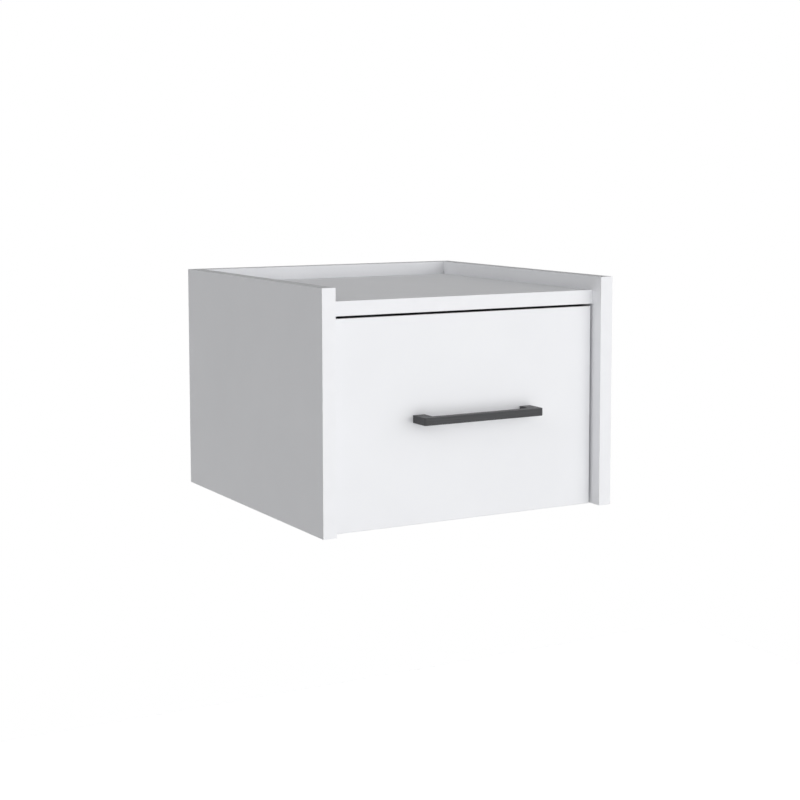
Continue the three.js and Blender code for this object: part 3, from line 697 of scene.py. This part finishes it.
def cut(obj, cutters):
    """Takes the cutters out of a piece for good, and removes them."""
    for cutter in cutters:
        boolean = obj.modifiers.new("cut", "BOOLEAN")
        boolean.operation = "DIFFERENCE"
        boolean.solver = "EXACT"
        boolean.object = cutter
    bpy.context.view_layer.update()
    depsgraph = bpy.context.evaluated_depsgraph_get()
    finished = bpy.data.meshes.new_from_object(obj.evaluated_get(depsgraph))
    obj.modifiers.clear()
    obj.data = finished
    for cutter in cutters:
        bpy.data.objects.remove(cutter)


def cross_recess(recess):
    """The two crossed cutters of a driver recess."""
    flat = wedge(**recess)
    upright = wedge(**recess)
    upright.rotation_euler = (math.pi / 2, 0, 0)
    return [flat, upright]


def smooth_by_angle(mesh):
    """Smooth shading, with the sharper edges kept sharp."""
    work = bmesh.new()
    work.from_mesh(mesh)
    for face in work.faces:
        face.smooth = True
    for edge in work.edges:
        sharp = len(edge.link_faces) != 2 or edge.calc_face_angle(0) > SMOOTH_ANGLE
        edge.smooth = not sharp
    work.to_mesh(mesh)
    work.free()


def screw_template(
        name, head_radius, head_thickness, shank_radius, length, pitch, core_share, recess):
    """A pan head screw from its driver face, at 0, to its tip."""
    head = [(head_thickness * along, head_radius * across) for along, across in SCREW_HEAD_SHARES]
    head.append((head_thickness, shank_radius))
    end = head_thickness + length
    tip = shank_radius * SCREW_TIP_LENGTH
    core = shank_radius * core_share
    neck_end = head_thickness + SCREW_NECK
    rows = soften(head, CORNER_CUTS["screw_head"])
    rows += [(neck_end, shank_radius), (neck_end + SCREW_STEP, core)]
    rows += thread(neck_end + SCREW_STEP, end - tip, core, shank_radius, pitch)
    rows += [(end - tip * SCREW_TIP_SHARES[0], core * SCREW_TIP_SHARES[1]), (end, 0)]
    screw = turned(name, rows)
    cut(screw, cross_recess(recess))
    return screw.data


def cam_bolt_template():
    """A cam bolt from the end of its thread, at 0, to its ball head."""
    rows = [(0, 0), (0, BOLT_TIP_RADIUS)] + thread(**BOLT_THREAD) + outline("cam_bolt_head")
    return turned("cam_bolt", rows).data


def cam_lock_template():
    """A cam from its driver face, at 0, with the mouth for the bolt towards +Y."""
    drum = turned("cam_lock", outline("cam_lock"), segments=FINE_ROUND)
    mouth = turned("mouth", outline("cam_lock_mouth"))
    mouth.rotation_euler = (0, 0, math.pi / 2)
    mouth.location = (CAM_AXIS_DEPTH, CAM_MOUTH_START, 0)
    slot = turned("slot", outline("cam_lock_slot"), closed=True, segments=FINE_ROUND)
    slot.location = (0, CAM_SLOT_OFFSET, 0)
    mark = wedge(**CAM_MARK)
    mark.location = (0, CAM_MARK_PLACE, 0)
    cut(drum, [mouth, slot, mark] + cross_recess(CAM_RECESS))
    return drum.data


def dowel_template():
    """A beech dowel with flutes that let the glue out."""
    return turned("dowel", outline("dowel"), flutes=FLUTES, segments=DOWEL_ROUND).data


def roller_template():
    """A roller, with its hub and dished outer face towards +X."""
    return turned("roller", outline("roller"), closed=True, segments=ROLLER_ROUND).data


def axle_template():
    """A riveted axle with its domed head at the far end."""
    return turned("axle", outline("axle")).data


# Rails: the CAD solids, with the rounded bends of folded sheet and the holes and slots between
# the screws that let a fitter choose another place.

RAIL_OUTER_BEND = 0.9 * MM
RAIL_INNER_BEND = 0.3 * MM
RAIL_BEND_STEPS = 4
RAIL_BEND_PROFILE = 0.5
RAIL_EDGE_BEVEL = 0.12 * MM
RAIL_STRIP = 2.5 * MM
PLACE_DIGITS = 6

# A fold's edge is longer than this and runs along Y for nearly all of its length. A face narrower
# than the sheet limit is the sheet's own edge.
RAIL_LONG_EDGE = 40 * MM
RAIL_STRAIGHT_SHARE = 0.999
RAIL_SHEET_LIMIT = 1.2 * MM

# Holes and slots: their sizes, how far a cutter reaches to each side of its place, how near its
# middle a corner stays where it is, and their places as shares of the way between the screws or,
# on the drawer rails' webs, of the rail's length.
RAIL_HOLE = 4.5 * MM
RAIL_SLOT = 13 * MM
RAIL_CUT_REACH = 3 * MM
RAIL_CUT_MIDDLE_SHARE = 0.01
RAIL_HOLE_SHARES = (0.12, 0.36, 0.64, 0.88)
RAIL_SLOT_SHARES = (0.22, 0.5, 0.78)
RAIL_WEB_SHARES = (0.16, 0.30, 0.44, 0.58, 0.72)


def face_width(face):
    """How wide a face is across Y, the way that a rail runs."""
    places = [vertex.co.y for vertex in face.verts]
    return face.calc_area() / (max(places) - min(places))


def fold_edges(work, convex):
    """The long edges along which a rail's sheet is folded, on one side of its folds."""
    chosen = []
    for edge in work.edges:
        along = edge.verts[1].co - edge.verts[0].co
        straight = abs(along.y) > max(RAIL_LONG_EDGE, RAIL_STRAIGHT_SHARE * along.length)
        if not straight or len(edge.link_faces) != 2 or edge.is_convex != convex:
            continue
        wide = min(face_width(face) for face in edge.link_faces) > RAIL_SHEET_LIMIT
        if wide and edge.calc_face_angle() > SHARP_ANGLE:
            chosen.append(edge)
    return chosen


def edge_strips(work):
    """Parts a strip from each face beside an outer fold, so that a fold's bevel meets nothing else."""
    middle = sum((vertex.co for vertex in work.verts), Vector()) / len(work.verts)
    planes = set()
    for edge in fold_edges(work, True):
        for axis in (Vector((1, 0, 0)), Vector((0, 0, 1))):
            place = axis.dot(edge.verts[0].co)
            side = math.copysign(RAIL_STRIP, axis.dot(middle) - place)
            planes.add((tuple(axis), round(place + side, PLACE_DIGITS)))
    for axis, place in sorted(planes):
        every = work.verts[:] + work.edges[:] + work.faces[:]
        cut_line = bmesh.ops.bisect_plane(work, geom=every, plane_co=Vector(axis) * place, plane_no=axis)
        for item in cut_line["geom_cut"]:
            if isinstance(item, bmesh.types.BMEdge):
                item.seam = True


def slot_cutter(place, length, upright):
    """A cutter for a hole or a slot that is long in Y, and goes through along X or, upright, along Z."""
    radius = RAIL_HOLE / 2
    cutter = turned("slot", [
        (-RAIL_CUT_REACH, 0), (-RAIL_CUT_REACH, radius), (RAIL_CUT_REACH, radius), (RAIL_CUT_REACH, 0),
    ])
    for vertex in cutter.data.vertices:
        if abs(vertex.co.y) > radius * RAIL_CUT_MIDDLE_SHARE:
            vertex.co.y += math.copysign((length - RAIL_HOLE) / 2, vertex.co.y)
    cutter.rotation_euler = (0, -math.pi / 2 if upright else 0, 0)
    cutter.location = place
    return cutter


def middle_of(node):
    low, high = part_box(node)
    return (low + high) / 2


def make_rail(label, kind):
    """A detailed copy of one rail, in its node's place."""
    node = f"{label}_{kind}_rail"
    upright = kind == "drawer"
    name = node + "_detail"
    mesh = nodes[node].data.copy()
    mesh.name = name
    work = bmesh.new()
    work.from_mesh(mesh)
    bmesh.ops.remove_doubles(work, verts=work.verts, dist=MERGE_DISTANCE)
    bmesh.ops.dissolve_limit(work, angle_limit=FLAT_ANGLE, verts=work.verts, edges=work.edges)
    edge_strips(work)
    bmesh.ops.dissolve_limit(
        work, angle_limit=FLAT_ANGLE, verts=work.verts, edges=work.edges, delimit={"SEAM"})
    for convex, bend in ((True, RAIL_OUTER_BEND), (False, RAIL_INNER_BEND)):
        bmesh.ops.bevel(
            work, geom=fold_edges(work, convex), offset=bend, segments=RAIL_BEND_STEPS,
            profile=RAIL_BEND_PROFILE, affect="EDGES")
    work.to_mesh(mesh)
    work.free()
    piece = bpy.data.objects.new(name, mesh)
    bpy.context.scene.collection.objects.link(piece)

    first = middle_of(f"{node}_front_screw")
    last = middle_of(f"{node}_rear_screw")
    cutters = [slot_cutter(first.lerp(last, share), RAIL_HOLE, upright) for share in RAIL_HOLE_SHARES]
    cutters += [slot_cutter(first.lerp(last, share), RAIL_SLOT, upright) for share in RAIL_SLOT_SHARES]
    if upright:
        low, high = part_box(node)
        web_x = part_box(f"drawer_{label}_side")[0 if label == "left" else 1].x
        for share in RAIL_WEB_SHARES:
            place = Vector((web_x, low.y + (high.y - low.y) * share, (low.z + high.z) / 2))
            cutters.append(slot_cutter(place, RAIL_HOLE, False))
    cut(piece, cutters)
    piece.data.name = name
    piece.data.materials.clear()
    piece.data.materials.append(LOOKS[SLOT_OF[node]])
    soften_edges(piece, RAIL_EDGE_BEVEL)
    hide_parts(node)
    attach(piece, BODY_OF[node])


def place_piece(node, template, forward, side=None):
    """Puts a copy of a small piece where a node is, with its own X forward and its own Y to the side."""
    low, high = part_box(node)
    x = Vector(forward)
    y = Vector(side) if side is not None else Vector((x.y, x.z, x.x))
    z = x.cross(y)
    middle = (low + high) / 2
    start = middle - x * abs(x.dot(high - low)) / 2
    turn = Matrix((x, y, z)).transposed().to_4x4()
    mesh = template.copy()
    mesh.name = node + "_detail"
    mesh.materials.clear()
    mesh.materials.append(LOOKS[SLOT_OF[node]])
    piece = bpy.data.objects.new(node + "_detail", mesh)
    bpy.context.scene.collection.objects.link(piece)
    piece.matrix_world = Matrix.Translation(start) @ turn
    smooth_by_angle(mesh)
    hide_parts(node)
    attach(piece, BODY_OF[node])


def make_small_pieces():
    templates = {name: screw_template(name, **sizes) for name, sizes in SCREWS.items()}
    templates |= {
        "cam_bolt": cam_bolt_template(), "cam_lock": cam_lock_template(), "dowel": dowel_template(),
        "roller": roller_template(), "axle": axle_template(),
    }
    originals = [obj for obj in bpy.context.scene.objects if obj.data in templates.values()]
    for label, sign in SIDES.items():
        outward = (sign, 0, 0)
        inward = (-sign, 0, 0)
        for end in ("front", "rear"):
            place_piece(f"{label}_cabinet_rail_{end}_screw", templates["rail_screw"], outward)
            place_piece(f"{label}_drawer_rail_{end}_screw", templates["rail_screw"], UP)
            place_piece(f"top_cam_bolt_{label}_{end}", templates["cam_bolt"], inward)
            place_piece(f"top_cam_lock_{label}_{end}", templates["cam_lock"], UP, outward)
            place_piece(f"bottom_dowel_{label}_{end}", templates["dowel"], inward)
        place_piece(f"back_cam_bolt_{label}", templates["cam_bolt"], inward)
        place_piece(f"back_cam_lock_{label}", templates["cam_lock"], BACK, outward)
        place_piece(f"drawer_cam_bolt_{label}", templates["cam_bolt"], BACK)
        place_piece(f"drawer_cam_lock_{label}", templates["cam_lock"], inward, FRONT)
        place_piece(f"drawer_back_screw_{label}", templates["box_screw"], inward)
        place_piece(f"handle_screw_{label}", templates["pull_screw"], FRONT)
        place_piece(f"{label}_front_roller", templates["roller"], inward)
        place_piece(f"{label}_front_roller_axle", templates["axle"], inward)
        place_piece(f"{label}_rear_roller", templates["roller"], outward)
        place_piece(f"{label}_rear_roller_axle", templates["axle"], outward)
    for obj in originals:
        bpy.data.objects.remove(obj)


make_camera()
make_world()
make_floor()
for node_name, slot_name in SLOT_OF.items():
    if slot_name in BEVEL_WIDTHS:
        dress(node_name)
make_small_pieces()
for side_label in SIDES:
    make_rail(side_label, "cabinet")
    make_rail(side_label, "drawer")

bpy.context.scene.view_settings.view_transform = "Standard"
